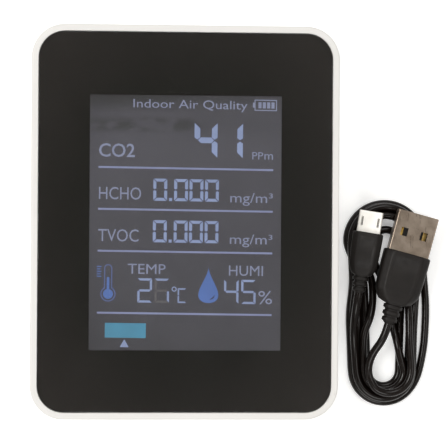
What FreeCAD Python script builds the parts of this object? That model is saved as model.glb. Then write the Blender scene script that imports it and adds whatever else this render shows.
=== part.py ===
import FreeCAD, Part
import math
import os

# Portable air quality monitor, lying on its back with its loose USB charging lead beside it.
# Millimetres. The origin is the centre of the flat back face: +Z points out of the screen,
# +Y points to the top of the screen and +X to its right.

# --- Case -------------------------------------------------------------------------------
CASE_W = 86.0
CASE_H = 110.0
CASE_D = 24.0
CORNER_R = 9.4
WALL = 1.8
RIM = 1.9                       # white border beside the black front panel
FRONT_EDGE_R = 0.6
BACK_EDGE_R = 3.5
PARTING_Z = 15.0                # where the front frame meets the rear cover
PARTING_CHAMFER = 0.25
LIP_H = 0.8
LIP_T = 0.75
LIP_GAP = 0.05
SHELF_T = 1.5
GAP = 0.1                       # clearance round the lens

# --- Front panel and its layers -----------------------------------------------------------
LENS_T = 1.5
LENS_DROP = 0.1                 # the lens lies this far below the rim
LENS_EDGE_R = 0.2
PRINT_T = 0.08
TAPE_T = 0.2
TAPE_WIDTH = 6.0
TAPE_INSET = 0.6                # from the lens edge to the tape
LENS_TOP = CASE_D - LENS_DROP
LENS_BOTTOM = LENS_TOP - LENS_T
SHELF_TOP = LENS_BOTTOM - 0.1 - TAPE_T
SHELF_BOTTOM = SHELF_TOP - SHELF_T

# --- Display ------------------------------------------------------------------------------
SCREEN_W = 53.5                 # the part of the display that shows through the print
SCREEN_H = 71.2
SCREEN_Y = -0.15
GLASS_W = 59.4
GLASS_H = 79.6
LEDGE = 3.2                     # rear glass left bare for the flex tail
POLARISER_T = 0.2
GLASS_T = 0.9
GLASS_GAP = 0.4                 # room round the display glass in the front frame
POLARISER_TOP = SHELF_TOP - 0.05
FRONT_GLASS_TOP = POLARISER_TOP - POLARISER_T
REAR_GLASS_TOP = FRONT_GLASS_TOP - GLASS_T
REAR_GLASS_BOTTOM = REAR_GLASS_TOP - GLASS_T
POCKET_EXTRA = 4.0              # room below the glass for the flex tail
TRAY_W = 64.0
TRAY_H = 84.0
TRAY_BOTTOM = 17.0
GUIDE_BOTTOM = 17.5
DIFFUSER_T = 0.3
FLEX_W = 24.0
FLEX_T = 0.15
FLEX_BEND = 1.0
FLEX_PAST_TRAY = 0.6
FLEX_RUN = 5.5                  # from the bend back to its connector

# --- Main board and what is soldered to it ---------------------------------------------------
BOARD_W = 80.0
BOARD_H = 100.0
BOARD_TOP = 14.8
BOARD_T = 1.6
BOARD_BOTTOM = BOARD_TOP - BOARD_T
CLIMATE_AT = (33.5, 19.0)       # centres of the sensors and the buzzer on the board's rear
CO2_AT = (-16.5, 31.0)
CO2_SIZE = (32.0, 19.0)
CO2_T = 8.6
CO2_INLET_R = 4.0
CO2_INLET_OFF = 6.0
HCHO_AT = (8.0, 33.0)
HCHO_CAN = (7.5, 6.5, 5.0)      # radius, height and mesh radius
TVOC_AT = (22.0, 34.0)
TVOC_CAN = (4.7, 5.5, 2.4)
BUZZER_AT = (29.0, 3.0)
BUZZER_R = 4.8
BUZZER_T = 5.0
BUZZER_HOLE_R = 0.9
SEAL_LOW_Y = 11.5               # the foam seal across the case, below the sensors
SEAL_HIGH_Y = 13.5
SEAL_X = 39.0

# --- Screws, and the pillars and posts that hold them --------------------------------------------
BOARD_SCREW_X = 35.0
BOARD_SCREW_Y = 28.0
BOARD_SCREW_R = 0.9
BOARD_POST_R = 2.3
CASE_SCREW_X = 36.2
CASE_SCREW_Y = 48.2
POST_R = 2.7
PILLAR_R = 4.0
PILLAR_TOP = 11.0
COUNTERBORE_R = 2.6
COUNTERBORE_Z = 8.5
SCREW_SHAFT_R = 1.1
SCREW_GAP = 0.02
SCREW_HEAD_R = 2.2
SCREW_HEAD_H = 1.6
THREAD_TOP = 19.0               # where the case screws' pilot holes end

# --- Buttons and switches on the top edge ------------------------------------------------------
BUTTONS = {"power": 28.0, "mode": 14.0}     # centre along X
BUTTON_Z = 11.2
BUTTON_W = 9.0
BUTTON_H = 3.4
BUTTON_GAP = 0.15
BUTTON_SINK = 0.1
FLANGE_W = 11.4
FLANGE_H = 5.0
FLANGE_T = 1.0
SWITCH_W = 7.0
SWITCH_D = 3.5
SWITCH_H = 3.5

# --- USB socket on the right side --------------------------------------------------------------
USB_Y = -37.0
SOCKET_W = 7.6
SOCKET_H = 2.65
SOCKET_D = 5.6
SOCKET_T = 0.3
SOCKET_MOUTH_X = 40.8
SOCKET_Z = BOARD_BOTTOM - SOCKET_H / 2
PORT_W = 9.2
PORT_H = 4.4

# --- Vents -------------------------------------------------------------------------------------
SLOT_W = 1.5
SLOT_PITCH = 4.2
SIDE_SLOTS = 7
TOP_SLOTS = 8
SLOT_LOW = 5.0
SLOT_HIGH = 12.0
SIDE_VENT_Y = 31.0
TOP_VENT_X = -18.0
BACK_SLOT_L = 22.0
BACK_ROWS = 8
BACK_COLUMNS = 2
MESH_T = 0.3
MESH_LOW = 3.2
MESH_HIGH = 13.0
PILLAR_ROOM = 2.5               # the mesh stops this much short, clear of the screw pillars

# --- Battery -----------------------------------------------------------------------------------
BATTERY_W = 50.0
BATTERY_H = 34.0
BATTERY_T = 5.5
BATTERY_X = -2.0
BATTERY_Y = -26.0
PAD_T = 0.4
CONNECTOR_AT = (-24.0, -2.5)
WIRE_D = 1.1

# --- Charging lead -----------------------------------------------------------------------------
CORD_D = 2.3
HANK_X = 59.2
HANK_Y = -23.2
HANK_W = 25.0
HANK_L = 61.0
HANK_T = 4.6
HANK_FOOT_R = 10.8              # radius of the narrower lower end
HANK_FOOT_T = 6.4               # the turns cross over each other at the lower end
HANK_FOOT_V = -14.0
HANK_HOLE_W = 5.0
MICRO_SHELL = (6.85, 1.85, 6.2)             # width, thickness and length
MICRO_GRIP = (8.8, 5.6, 12.5, 1.5)          # width, thickness, length and bevel
MICRO_NECK = (4.6, 3.8, 5.0)                # width, thickness and length
USB_A_SHELL = (12.0, 4.5, 11.8)
USB_A_GRIP = (13.6, 6.8, 15.0, 1.6)
USB_A_NECK = (5.6, 4.6, 6.0)
NECK_RIBS = 3
NECK_GROOVE = 0.8
SHOULDER_START = 0.72           # share of the grip's length before it narrows
SHOULDER_W = 0.78
SHOULDER_T = 0.9
MICRO_PLACE = (-5.8, 20.6, 8.6)             # front of each grip, from the hank's centre
MICRO_ROLL = -7.0               # roll about the plug's own length
MICRO_TURN = -9.0               # each plug's turn about Z from pointing along +Y
USB_A_PLACE = (5.7, 14.6, 8.2)
USB_A_TURN = -15.0
MICRO_STRAIGHT = 5.0            # the cord's first straight run behind each plug
USB_A_STRAIGHT = 4.5
MICRO_DROP = [(-9.4, -8.6, 4.2), (-8.7, -16.0, 3.2)]        # the cord's way down into the hank
USB_A_DROP = [(-4.4, -15.0, 6.2), (-5.4, -20.2, 5.2)]

PARTS = {}


def vec(x, y, z):
    return FreeCAD.Vector(x, y, z)


def box(x0, x1, y0, y1, z0, z1):
    """A block between two corners."""
    return Part.makeBox(x1 - x0, y1 - y0, z1 - z0, vec(x0, y0, z0))


def block(width, height, z0, z1, centre=(0.0, 0.0)):
    """A block centred on a point of the XY plane."""
    x, y = centre
    return box(x - width / 2, x + width / 2, y - height / 2, y + height / 2, z0, z1)


def rod(radius, z0, z1, centre):
    return Part.makeCylinder(radius, z1 - z0, vec(centre[0], centre[1], z0))


def plate(width, height, radius, z0, z1, centre=(0.0, 0.0)):
    """A block with rounded corners seen along Z."""
    solid = block(width, height, z0, z1, centre)
    upright = [e for e in solid.Edges if abs(e.Vertexes[0].Z - e.Vertexes[-1].Z) > 1e-6]
    return solid.makeFillet(radius, upright)


def edges_at(solid, z):
    """The edges of a solid that lie in one level plane."""
    return [e for e in solid.Edges if abs(e.BoundBox.ZMin - z) < 1e-6 and abs(e.BoundBox.ZMax - z) < 1e-6]


def inset(amount, z0, z1):
    """The case outline, moved inwards by an amount."""
    return plate(CASE_W - 2 * amount, CASE_H - 2 * amount, CORNER_R - amount, z0, z1)


def corners(x, y):
    return [(x, y), (-x, y), (-x, -y), (x, -y)]


def fused(solids):
    whole = solids[0].multiFuse(solids[1:])
    return whole.removeSplitter()


def prism(points, direction):
    """A closed polygon of points, extruded along a direction."""
    wire = Part.makePolygon([vec(*p) for p in points] + [vec(*points[0])])
    return Part.Face(wire).extrude(vec(*direction))


def turned(shape, roll, turn, place):
    """A shape rolled about Y, then turned about Z, then moved to its place."""
    moved = shape.copy()
    moved.rotate(vec(0, 0, 0), vec(0, 1, 0), roll)
    moved.rotate(vec(0, 0, 0), vec(0, 0, 1), turn)
    moved.translate(vec(*place))
    return moved


# --- Housing ------------------------------------------------------------------------------------
def front_frame():
    outer = inset(0.0, PARTING_Z, CASE_D)
    outer = outer.makeFillet(FRONT_EDGE_R, edges_at(outer, CASE_D))
    outer = outer.makeChamfer(PARTING_CHAMFER, edges_at(outer, PARTING_Z))
    lip_out = inset(WALL - LIP_T, PARTING_Z - LIP_H, PARTING_Z + 1.0)
    lip = lip_out.cut(inset(WALL, PARTING_Z - LIP_H - 1.0, PARTING_Z + 2.0))
    hollow = inset(WALL, PARTING_Z - 1.0, SHELF_BOTTOM)
    recess = inset(RIM, SHELF_TOP, CASE_D + 1.0)
    low = SCREEN_Y - GLASS_H / 2 - POCKET_EXTRA
    high = SCREEN_Y + GLASS_H / 2 + GLASS_GAP
    side = GLASS_W / 2 + GLASS_GAP
    window = box(-side, side, low, high, SHELF_BOTTOM - 1.0, SHELF_TOP + 1.0)
    frame = fused([outer.cut(hollow), lip]).cut(recess).cut(window)
    posts = [rod(POST_R, PILLAR_TOP, SHELF_BOTTOM, at) for at in corners(CASE_SCREW_X, CASE_SCREW_Y)]
    for at in corners(BOARD_SCREW_X, BOARD_SCREW_Y):
        posts.append(rod(BOARD_POST_R, BOARD_TOP, SHELF_BOTTOM, at))
    pilot = SCREW_SHAFT_R + SCREW_GAP
    holes = [rod(pilot, PILLAR_TOP - 1.0, THREAD_TOP, at) for at in corners(CASE_SCREW_X, CASE_SCREW_Y)]
    board_pilot = BOARD_SCREW_R + SCREW_GAP
    for at in corners(BOARD_SCREW_X, BOARD_SCREW_Y):
        holes.append(rod(board_pilot, BOARD_TOP - 1.0, THREAD_TOP + 0.5, at))
    return fused([frame] + posts).cut(Part.makeCompound(holes))


def vent_slots():
    """Cutters for the slots in both sides, the top edge and the back."""
    cutters = []
    for i in range(SIDE_SLOTS):
        y = SIDE_VENT_Y + (i - (SIDE_SLOTS - 1) / 2) * SLOT_PITCH
        for side in (-1, 1):
            x = side * CASE_W / 2
            cutters.append(box(x - 3.0, x + 3.0, y - SLOT_W / 2, y + SLOT_W / 2, SLOT_LOW, SLOT_HIGH))
    for i in range(TOP_SLOTS):
        x = TOP_VENT_X + (i - (TOP_SLOTS - 1) / 2) * SLOT_PITCH
        cutters.append(box(x - SLOT_W / 2, x + SLOT_W / 2, CASE_H / 2 - 3.0, CASE_H / 2 + 3.0,
                           SLOT_LOW, SLOT_HIGH))
    for column in range(BACK_COLUMNS):
        x = (column - (BACK_COLUMNS - 1) / 2) * (BACK_SLOT_L + 4.0)
        for row in range(BACK_ROWS):
            y = SIDE_VENT_Y + (row - (BACK_ROWS - 1) / 2) * SLOT_PITCH
            cutters.append(plate(BACK_SLOT_L, SLOT_W, SLOT_W / 2 - 0.01, -1.0, WALL + 1.0, (x, y)))
    return cutters


def battery_ribs():
    """Short walls on the rear cover that locate the battery's corners."""
    ribs = []
    for sx in (-1, 1):
        for sy in (-1, 1):
            x = BATTERY_X + sx * (BATTERY_W / 2 + 0.9)
            y = BATTERY_Y + sy * (BATTERY_H / 2 - 5.0)
            ribs.append(block(1.2, 8.0, WALL - 0.5, 5.5, (x, y)))
    for sx in (-1, 1):
        x = BATTERY_X + sx * (BATTERY_W / 2 - 8.0)
        ribs.append(block(8.0, 1.2, WALL - 0.5, 5.5, (x, BATTERY_Y - BATTERY_H / 2 - 0.9)))
    return ribs


def rear_cover():
    outer = inset(0.0, 0.0, PARTING_Z)
    outer = outer.makeFillet(BACK_EDGE_R, edges_at(outer, 0.0))
    outer = outer.makeChamfer(PARTING_CHAMFER, edges_at(outer, PARTING_Z))
    hollow = inset(WALL, WALL, PARTING_Z + 1.0)
    rebate = inset(WALL - LIP_T - LIP_GAP, PARTING_Z - LIP_H - 0.1, PARTING_Z + 1.0)
    pillars = [rod(PILLAR_R, WALL - 0.5, PILLAR_TOP, at) for at in corners(CASE_SCREW_X, CASE_SCREW_Y)]
    cover = fused([outer.cut(hollow).cut(rebate)] + pillars + battery_ribs())
    cutters = vent_slots()
    for at in corners(CASE_SCREW_X, CASE_SCREW_Y):
        cutters.append(rod(COUNTERBORE_R, -1.0, COUNTERBORE_Z, at))
        cutters.append(rod(SCREW_SHAFT_R + 0.25, COUNTERBORE_Z - 0.5, PILLAR_TOP + 1.0, at))
    for x in BUTTONS.values():
        half_w = BUTTON_W / 2 + BUTTON_GAP
        half_h = BUTTON_H / 2 + BUTTON_GAP
        cutters.append(box(x - half_w, x + half_w, CASE_H / 2 - WALL - 1.0, CASE_H / 2 + 1.0,
                           BUTTON_Z - half_h, BUTTON_Z + half_h))
    port = box(CASE_W / 2 - WALL - 1.0, CASE_W / 2 + 1.0, USB_Y - PORT_W / 2, USB_Y + PORT_W / 2,
               SOCKET_Z - PORT_H / 2, SOCKET_Z + PORT_H / 2)
    along = [e for e in port.Edges if abs(e.Vertexes[0].X - e.Vertexes[-1].X) > 1e-6]
    cutters.append(port.makeFillet(1.2, along))
    return cover.cut(Part.makeCompound(cutters))


def dust_mesh():
    """Fine mesh sheets against the inside of the four vent fields."""
    reach = (SIDE_SLOTS * SLOT_PITCH + 2.0) / 2
    inner_x = CASE_W / 2 - WALL
    inner_y = CASE_H / 2 - WALL
    low, high = MESH_LOW, MESH_HIGH
    sheets = []
    for x in (-inner_x, inner_x - MESH_T):
        sheets.append(box(x, x + MESH_T, SIDE_VENT_Y - reach, SIDE_VENT_Y + reach - PILLAR_ROOM, low, high))
    top_reach = TOP_SLOTS * SLOT_PITCH / 2
    sheets.append(box(TOP_VENT_X - top_reach + PILLAR_ROOM, TOP_VENT_X + top_reach,
                      inner_y - MESH_T, inner_y, low, high))
    back_reach = BACK_ROWS * SLOT_PITCH / 2
    sheets.append(box(-BACK_SLOT_L - 4.0, BACK_SLOT_L + 4.0, SIDE_VENT_Y - back_reach,
                      SIDE_VENT_Y + back_reach, WALL, WALL + MESH_T))
    return Part.makeCompound(sheets)


def screw(shaft_r, head_r, head_h, seat_z, tip_z):
    """A pan-head screw with a cross recess, its head below its seat and its tip pointing to +Z."""
    head = rod(head_r, seat_z - head_h, seat_z, (0, 0))
    head = head.makeFillet(head_h * 0.45, edges_at(head, seat_z - head_h))
    shaft = rod(shaft_r, seat_z, tip_z, (0, 0))
    shaft = shaft.makeChamfer(shaft_r * 0.5, edges_at(shaft, tip_z))
    deep = seat_z - head_h * 0.4
    arm = head_r * 1.2
    below = seat_z - head_h - 1.0
    cross = fused([block(arm, 0.5, below, deep), block(0.5, arm, below, deep)])
    return fused([head, shaft]).cut(cross)


def screw_group(shape, x, y):
    placed = []
    for cx, cy in corners(x, y):
        copy = shape.copy()
        copy.translate(vec(cx, cy, 0))
        placed.append(copy)
    return Part.makeCompound(placed)


# --- Front panel and display ---------------------------------------------------------------------
def front_lens():
    lens = inset(RIM + GAP, LENS_BOTTOM, LENS_TOP)
    return lens.makeFillet(LENS_EDGE_R, edges_at(lens, LENS_TOP))


def border_print():
    """The black ink border on the back of the lens, with the clear screen window."""
    sheet = inset(RIM + GAP + 0.05, SHELF_TOP + TAPE_T, SHELF_TOP + TAPE_T + PRINT_T)
    return sheet.cut(block(SCREEN_W, SCREEN_H, SHELF_TOP, LENS_BOTTOM, (0, SCREEN_Y)))


def lens_tape():
    outside = RIM + GAP + TAPE_INSET
    ring = inset(outside, SHELF_TOP, SHELF_TOP + TAPE_T)
    return ring.cut(inset(outside + TAPE_WIDTH, SHELF_TOP - 1.0, SHELF_TOP + 1.0))


def lcd_polariser():
    low = SCREEN_Y - GLASS_H / 2 + LEDGE + 0.5
    high = SCREEN_Y + GLASS_H / 2 - 0.5
    return box(-GLASS_W / 2 + 0.5, GLASS_W / 2 - 0.5, low, high, FRONT_GLASS_TOP, POLARISER_TOP)


def lcd_front_glass():
    low = SCREEN_Y - GLASS_H / 2 + LEDGE
    return box(-GLASS_W / 2, GLASS_W / 2, low, SCREEN_Y + GLASS_H / 2, REAR_GLASS_TOP, FRONT_GLASS_TOP)


def lcd_rear_glass():
    return block(GLASS_W, GLASS_H, REAR_GLASS_BOTTOM, REAR_GLASS_TOP, (0, SCREEN_Y))


def backlight_frame():
    tray = plate(TRAY_W, TRAY_H, 1.0, TRAY_BOTTOM, SHELF_BOTTOM - 0.05, (0, SCREEN_Y))
    seat = block(GLASS_W + 0.6, GLASS_H + 0.6, REAR_GLASS_BOTTOM, SHELF_BOTTOM + 1.0, (0, SCREEN_Y))
    well = block(GLASS_W - 1.4, GLASS_H - 1.6, GUIDE_BOTTOM, SHELF_BOTTOM + 1.0, (0, SCREEN_Y))
    notch = box(-FLEX_W / 2 - 1.0, FLEX_W / 2 + 1.0, SCREEN_Y - TRAY_H / 2 - 1.0, SCREEN_Y - GLASS_H / 2,
                REAR_GLASS_BOTTOM, SHELF_BOTTOM + 1.0)
    return tray.cut(seat).cut(well).cut(notch)


def light_guide():
    return block(GLASS_W - 1.8, GLASS_H - 2.0, GUIDE_BOTTOM, REAR_GLASS_BOTTOM - DIFFUSER_T, (0, SCREEN_Y))


def diffuser_sheet():
    low = REAR_GLASS_BOTTOM - DIFFUSER_T
    return block(GLASS_W - 1.8, GLASS_H - 2.0, low, REAR_GLASS_BOTTOM, (0, SCREEN_Y))


def lcd_flex():
    """The flex tail: off the rear glass ledge, down past the tray and back onto the board."""
    top = REAR_GLASS_TOP + FLEX_T / 2
    low = BOARD_TOP + 0.8
    start = SCREEN_Y - GLASS_H / 2 + LEDGE - 0.5
    drop = SCREEN_Y - TRAY_H / 2 - FLEX_PAST_TRAY
    end = drop + FLEX_RUN
    r = FLEX_BEND
    half = r * math.sqrt(0.5)
    first = Part.Arc(vec(0, drop + r, top), vec(0, drop + r - half, top - r + half), vec(0, drop, top - r))
    second = Part.Arc(vec(0, drop, low + r), vec(0, drop + r - half, low + r - half), vec(0, drop + r, low))
    path = [
        Part.LineSegment(vec(0, start, top), vec(0, drop + r, top)).toShape(),
        first.toShape(),
        Part.LineSegment(vec(0, drop, top - r), vec(0, drop, low + r)).toShape(),
        second.toShape(),
        Part.LineSegment(vec(0, drop + r, low), vec(0, end, low)).toShape(),
    ]
    x = FLEX_W / 2
    under, over = top - FLEX_T / 2, top + FLEX_T / 2
    ring = [(-x, under), (x, under), (x, over), (-x, over), (-x, under)]
    section = Part.makePolygon([vec(across, start, z) for across, z in ring])
    return Part.Wire(path).makePipeShell([section], True, True)


def flex_connector():
    start = SCREEN_Y - TRAY_H / 2 - FLEX_PAST_TRAY + FLEX_RUN
    return block(FLEX_W + 3.0, 3.6, BOARD_TOP, BOARD_TOP + 1.5, (0, start + 1.8))


# --- Main board --------------------------------------------------------------------------------
def main_board():
    board = plate(BOARD_W, BOARD_H, 2.0, BOARD_BOTTOM, BOARD_TOP)
    cutters = [rod(PILLAR_R + 1.0, 0.0, CASE_D, at) for at in corners(CASE_SCREW_X, CASE_SCREW_Y)]
    cutters += [rod(1.2, 0.0, CASE_D, at) for at in corners(BOARD_SCREW_X, BOARD_SCREW_Y)]
    x, y = CLIMATE_AT
    moat = block(9.0, 8.0, 0.0, CASE_D, (x, y)).cut(block(7.4, 6.4, -1.0, CASE_D + 1.0, (x, y)))
    bridge = block(2.4, 3.0, -1.0, CASE_D + 1.0, (x, y - 4.0))
    cutters.append(moat.cut(bridge))
    return board.cut(Part.makeCompound(cutters))


def chip(width, height, thickness, centre):
    """A square chip package with a row of legs on each side, on the rear of the board."""
    top = BOARD_BOTTOM
    body = block(width, height, top - thickness, top - 0.1, centre)
    pieces = [body]
    count = int(width / 1.25)
    x, y = centre
    for i in range(count):
        off = (i - (count - 1) / 2) * 1.1
        for side in (-1, 1):
            pieces.append(block(1.2, 0.4, top - 0.5, top, (x + side * (width / 2 + 0.4), y + off)))
            pieces.append(block(0.4, 1.2, top - 0.5, top, (x + off, y + side * (height / 2 + 0.4))))
    return fused(pieces)


def board_components():
    """Charger, regulator, inductor, capacitors and resistors on the rear of the board."""
    top = BOARD_BOTTOM
    solids = [
        block(4.0, 4.0, top - 1.2, top, (27.0, -33.0)),
        block(5.0, 5.0, top - 3.0, top, (27.0, -24.0)),
        block(3.0, 4.4, top - 1.4, top, (20.0, -44.0)),
        rod(2.5, top - 5.0, top, (31.0, -12.0)),
    ]
    for i in range(6):
        solids.append(block(2.0, 1.2, top - 0.8, top, (-12.0 + 4.4 * i, -4.6)))
    for i in range(5):
        solids.append(block(1.2, 2.0, top - 0.6, top, (10.0 + 2.6 * i, 5.0)))
    return Part.makeCompound(solids)


def sensor_can(radius, height, hole_r, centre):
    """A round sensor cap on the rear of the board, open over its mesh."""
    can = rod(radius, BOARD_BOTTOM - height, BOARD_BOTTOM, centre)
    can = can.makeFillet(0.6, edges_at(can, BOARD_BOTTOM - height))
    return can.cut(rod(hole_r, BOARD_BOTTOM - height - 1.0, BOARD_BOTTOM - height + 0.8, centre))


def sensor_mesh(_radius, height, hole_r, centre):
    """The mesh that fills the opening of a sensor cap of this size."""
    z = BOARD_BOTTOM - height
    return rod(hole_r, z + 0.4, z + 0.8, centre)


def co2_inlet(z0, z1):
    return rod(CO2_INLET_R, z0, z1, (CO2_AT[0] + CO2_INLET_OFF, CO2_AT[1]))


def co2_sensor():
    """An infrared gas cell: a gold-faced box with a round gas inlet."""
    z = BOARD_BOTTOM - CO2_T
    cell = plate(*CO2_SIZE, 2.0, z, BOARD_BOTTOM - 0.8, CO2_AT)
    cell = cell.makeChamfer(0.6, edges_at(cell, z))
    x, y = CO2_AT
    pins = []
    for side in (-1, 1):
        for row in (-1, 0, 1):
            at = (x + side * 13.0, y + row * 2.54)
            pins.append(rod(0.5, BOARD_BOTTOM - 0.9, BOARD_BOTTOM, at))
    return fused([cell] + pins).cut(co2_inlet(z - 1.0, z + 0.6))


def co2_membrane():
    z = BOARD_BOTTOM - CO2_T
    return co2_inlet(z + 0.1, z + 0.6)


def buzzer():
    low = BOARD_BOTTOM - BUZZER_T
    can = rod(BUZZER_R, low, BOARD_BOTTOM, BUZZER_AT)
    return can.cut(rod(BUZZER_HOLE_R, low - 1.0, low + 1.5, BUZZER_AT))


def chamber_seal():
    """A foam strip that keeps the board's warmth out of the sensor chamber."""
    return box(-SEAL_X, SEAL_X, SEAL_LOW_Y, SEAL_HIGH_Y, WALL, BOARD_BOTTOM)


def usb_outline(width, height, cut, x):
    """The D-shaped outline of a micro USB mouth, facing +X."""
    w = width / 2
    low = SOCKET_Z - height / 2
    high = SOCKET_Z + height / 2
    return [(x, USB_Y - w, high), (x, USB_Y + w, high), (x, USB_Y + w, low + cut),
            (x, USB_Y + w - cut, low), (x, USB_Y - w + cut, low), (x, USB_Y - w, low + cut)]


def usb_socket():
    back = SOCKET_MOUTH_X - SOCKET_D
    shell = prism(usb_outline(SOCKET_W, SOCKET_H, 0.8, back), (SOCKET_D, 0, 0))
    inner = usb_outline(SOCKET_W - 2 * SOCKET_T, SOCKET_H - 2 * SOCKET_T, 0.65, back + SOCKET_T)
    return shell.cut(prism(inner, (SOCKET_D, 0, 0)))


def usb_tongue():
    back = SOCKET_MOUTH_X - SOCKET_D + SOCKET_T
    return box(back, SOCKET_MOUTH_X - 1.0, USB_Y - 1.9, USB_Y + 1.9, SOCKET_Z + 0.1, SOCKET_Z + 0.65)


# --- Buttons ------------------------------------------------------------------------------------
def button_cap(x):
    inner = CASE_H / 2 - WALL
    face = CASE_H / 2 - BUTTON_SINK
    head = box(x - BUTTON_W / 2, x + BUTTON_W / 2, inner - 0.5, face,
               BUTTON_Z - BUTTON_H / 2, BUTTON_Z + BUTTON_H / 2)
    along = [e for e in head.Edges if abs(e.Vertexes[0].Y - e.Vertexes[-1].Y) > 1e-6]
    head = head.makeFillet(0.6, along)
    flange = box(x - FLANGE_W / 2, x + FLANGE_W / 2, inner - 0.2 - FLANGE_T, inner - 0.2,
                 BUTTON_Z - FLANGE_H / 2, BUTTON_Z + FLANGE_H / 2)
    stem = Part.makeCylinder(1.2, 0.7, vec(x, inner - 1.8, BUTTON_Z), vec(0, 1, 0))
    return fused([head, flange, stem])


def switch_body(x):
    """A side-pressed switch under the board's top edge, with a blind way for its plunger."""
    front = BOARD_H / 2
    body = box(x - SWITCH_W / 2, x + SWITCH_W / 2, front - SWITCH_D, front,
               BOARD_BOTTOM - SWITCH_H, BOARD_BOTTOM)
    way = box(x - 1.35, x + 1.35, front - 2.4, front + 1.0, BUTTON_Z - 0.8, BUTTON_Z + 0.8)
    return body.cut(way)


def switch_plunger(x):
    front = BOARD_H / 2
    return box(x - 1.3, x + 1.3, front - 1.8, CASE_H / 2 - WALL - 1.8, BUTTON_Z - 0.75, BUTTON_Z + 0.75)


# --- Battery ------------------------------------------------------------------------------------
def battery():
    z = WALL + PAD_T
    cell = plate(BATTERY_W, BATTERY_H, 2.0, z, z + BATTERY_T, (BATTERY_X, BATTERY_Y))
    return cell.makeFillet(1.2, edges_at(cell, z + BATTERY_T) + edges_at(cell, z))


def battery_pad():
    return block(BATTERY_W - 8.0, BATTERY_H - 8.0, WALL, WALL + PAD_T, (BATTERY_X, BATTERY_Y))


def battery_connector():
    return block(6.0, 4.6, BOARD_BOTTOM - 3.6, BOARD_BOTTOM, CONNECTOR_AT)


def tube(points, diameter, ratio=0.45):
    """A round tube along straight runs joined by tangent arcs, each as large as its runs allow."""
    runs = []
    last = vec(*points[0])
    for before, here, after in zip(points, points[1:], points[2:]):
        before, here, after = vec(*before), vec(*here), vec(*after)
        back = (before - here)
        on = (after - here)
        cut = ratio * min(back.Length, on.Length)
        back.normalize()
        on.normalize()
        turn = math.pi - back.getAngle(on)
        radius = cut / math.tan(turn / 2)
        start = here + back * cut
        end = here + on * cut
        inward = back + on
        inward.normalize()
        middle = here + inward * (radius / math.cos(turn / 2) - radius)
        runs.append(Part.LineSegment(last, start).toShape())
        runs.append(Part.Arc(start, middle, end).toShape())
        print("  bend radius %.1f mm, %.1f diameters" % (radius, radius / diameter))
        last = end
    runs.append(Part.LineSegment(last, vec(*points[-1])).toShape())
    path = Part.Wire(runs)
    along = vec(*points[1]) - vec(*points[0])
    ring = Part.Wire([Part.Circle(vec(*points[0]), along, diameter / 2).toShape()])
    solid = path.makePipeShell([ring], True, False)
    expected = math.pi * diameter ** 2 / 4 * path.Length
    off = 100 * (solid.Volume / expected - 1)
    print("  tube length %.1f mm, volume off by %.2f%%" % (path.Length, off))
    return solid


def battery_wires():
    """The two leads from the battery's edge to its connector."""
    edge_y = BATTERY_Y + BATTERY_H / 2
    z = WALL + PAD_T + BATTERY_T / 2
    tubes = []
    for off in (-1.0, 1.0):
        x = CONNECTOR_AT[0] + off
        route = [(x, edge_y, z), (x, edge_y + 2.4, z), (x, edge_y + 2.6, z + 4.0),
                 (x, CONNECTOR_AT[1] - 2.3, BOARD_BOTTOM - 1.8)]
        tubes.append(tube(route, WIRE_D))
    return Part.makeCompound(tubes)


# --- Charging lead --------------------------------------------------------------------------------
def lead_at(u, v, z):
    """A point given beside the hank's centre, in the row's own frame."""
    return (HANK_X + u, HANK_Y + v, z)


def tapered_oval(top_r, foot_r, length, z0, z1):
    """Two discs and the straight sides that touch both, centred on the hank."""
    top_y = length / 2 - top_r
    foot_y = -length / 2 + foot_r
    slope = math.asin((top_r - foot_r) / (top_y - foot_y))
    c, s = math.cos(slope), math.sin(slope)
    sides = [(top_r * c, top_y - top_r * s), (-top_r * c, top_y - top_r * s),
             (-foot_r * c, foot_y - foot_r * s), (foot_r * c, foot_y - foot_r * s)]
    middle = prism([lead_at(u, v, z0) for u, v in sides], (0, 0, z1 - z0))
    discs = [rod(r, z0, z1, lead_at(0, v, 0)[:2]) for r, v in ((top_r, top_y), (foot_r, foot_y))]
    return fused([middle] + discs)


def lead_hank():
    """The wound cord as one slab with its long hole, thicker where the turns cross at the foot."""
    outer = tapered_oval(HANK_W / 2, HANK_FOOT_R, HANK_L, 0.0, HANK_T)
    raised = tapered_oval(HANK_W / 2, HANK_FOOT_R, HANK_L, 0.0, HANK_FOOT_T)
    foot = block(HANK_W, HANK_L, 0.0, HANK_FOOT_T, (HANK_X, HANK_Y + HANK_FOOT_V - HANK_L / 2))
    hole = tapered_oval(HANK_HOLE_W / 2, HANK_HOLE_W / 2 - 0.5, HANK_L - 22.0, -1.0, HANK_FOOT_T + 1.0)
    return fused([outer, raised.common(foot)]).cut(hole)


def bar(width, thick, y0, y1):
    """A block along Y, centred on the Y axis."""
    return box(-width / 2, width / 2, y0, y1, -thick / 2, thick / 2)


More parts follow.
